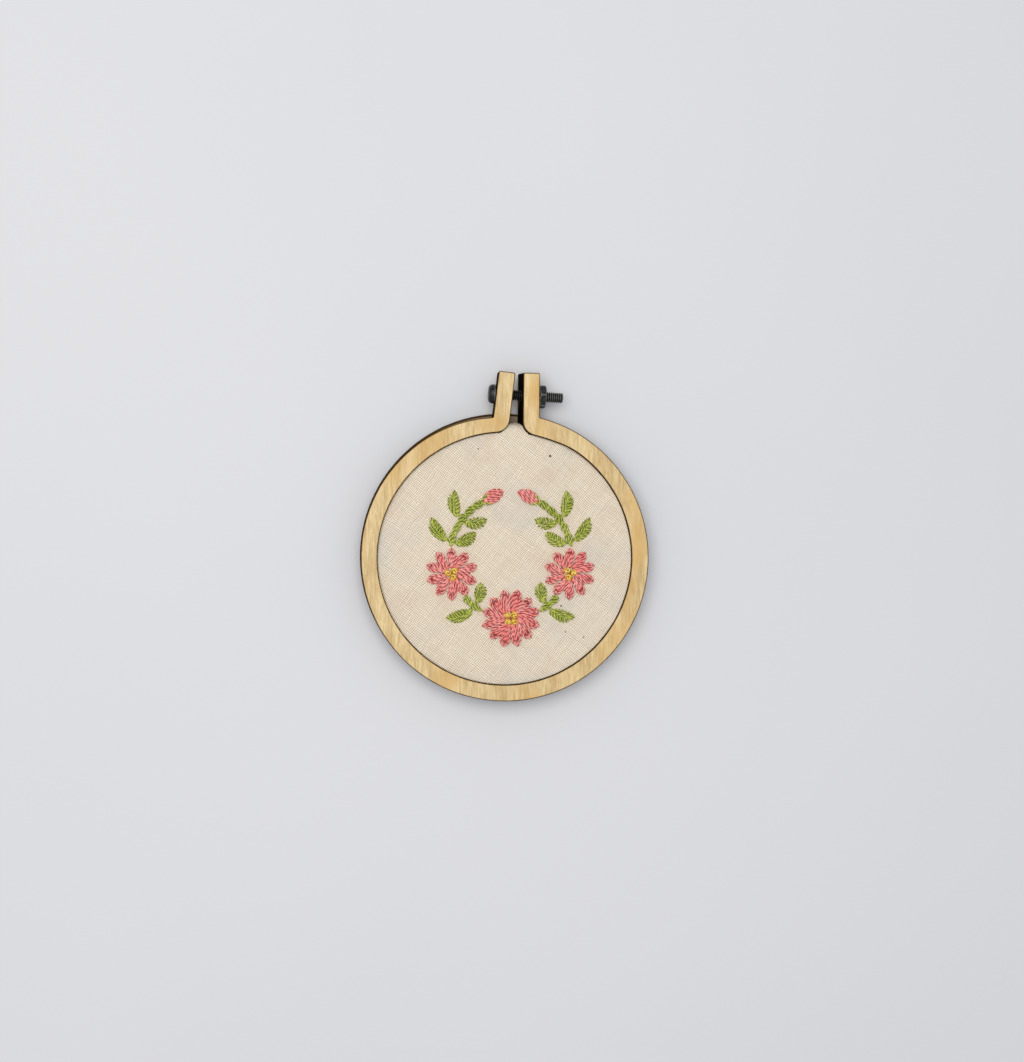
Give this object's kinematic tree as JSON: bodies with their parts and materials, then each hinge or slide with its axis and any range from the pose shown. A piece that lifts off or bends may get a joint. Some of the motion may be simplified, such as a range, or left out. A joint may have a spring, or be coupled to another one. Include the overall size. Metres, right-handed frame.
{
  "type": "hoop embroidery art: stitched cloth stretched in a small plywood embroidery hoop",
  "caption": "Small round plywood embroidery hoop with clamp ears, screw and nut, holding a stretched cotton cloth stitched with a flower garland, on a backing plate.",
  "frame": {"origin": "on the backing plate's flat back face, behind the middle of the ring, on the surface that the hoop lies on", "axes": "+Z out of the stitched face, +Y from the middle towards the two clamp ears, +X towards the nut"},
  "size_m": [0.0554, 0.0632, 0.0062],
  "materials": {
    "ply": "bare birch plywood with thin burnt laser-cut edges",
    "backing_ply": "bare plywood with burnt laser-cut edges",
    "cotton": "plain-weave cream cotton",
    "black_steel": "black oxide, satin",
    "pink_thread": "stranded cotton thread",
    "green_thread": "stranded cotton thread",
    "yellow_thread": "stranded cotton thread"
  },
  "bodies": {
    "root": {"hoop_ring": "ply", "backing_plate": "backing_ply", "inner_plate": "backing_ply", "cloth": "cotton", "clamp_screw": "black_steel", "clamp_nut": "black_steel", "blossom_middle": "pink_thread", "blossom_left": "pink_thread", "blossom_right": "pink_thread", "knots_middle": "yellow_thread", "knots_left": "yellow_thread", "knots_right": "yellow_thread", "bud_left": "pink_thread", "bud_right": "pink_thread", "stem_lower_left": "green_thread", "stem_lower_right": "green_thread", "stem_upper_left": "green_thread", "stem_upper_right": "green_thread", "leaf_left_1": "green_thread", "leaf_left_2": "green_thread", "leaf_left_3": "green_thread", "leaf_left_4": "green_thread", "leaf_left_5": "green_thread", "leaf_left_6": "green_thread", "leaf_right_1": "green_thread", "leaf_right_2": "green_thread", "leaf_right_3": "green_thread", "leaf_right_4": "green_thread", "leaf_right_5": "green_thread", "leaf_right_6": "green_thread"}
  },
  "joints": []
}
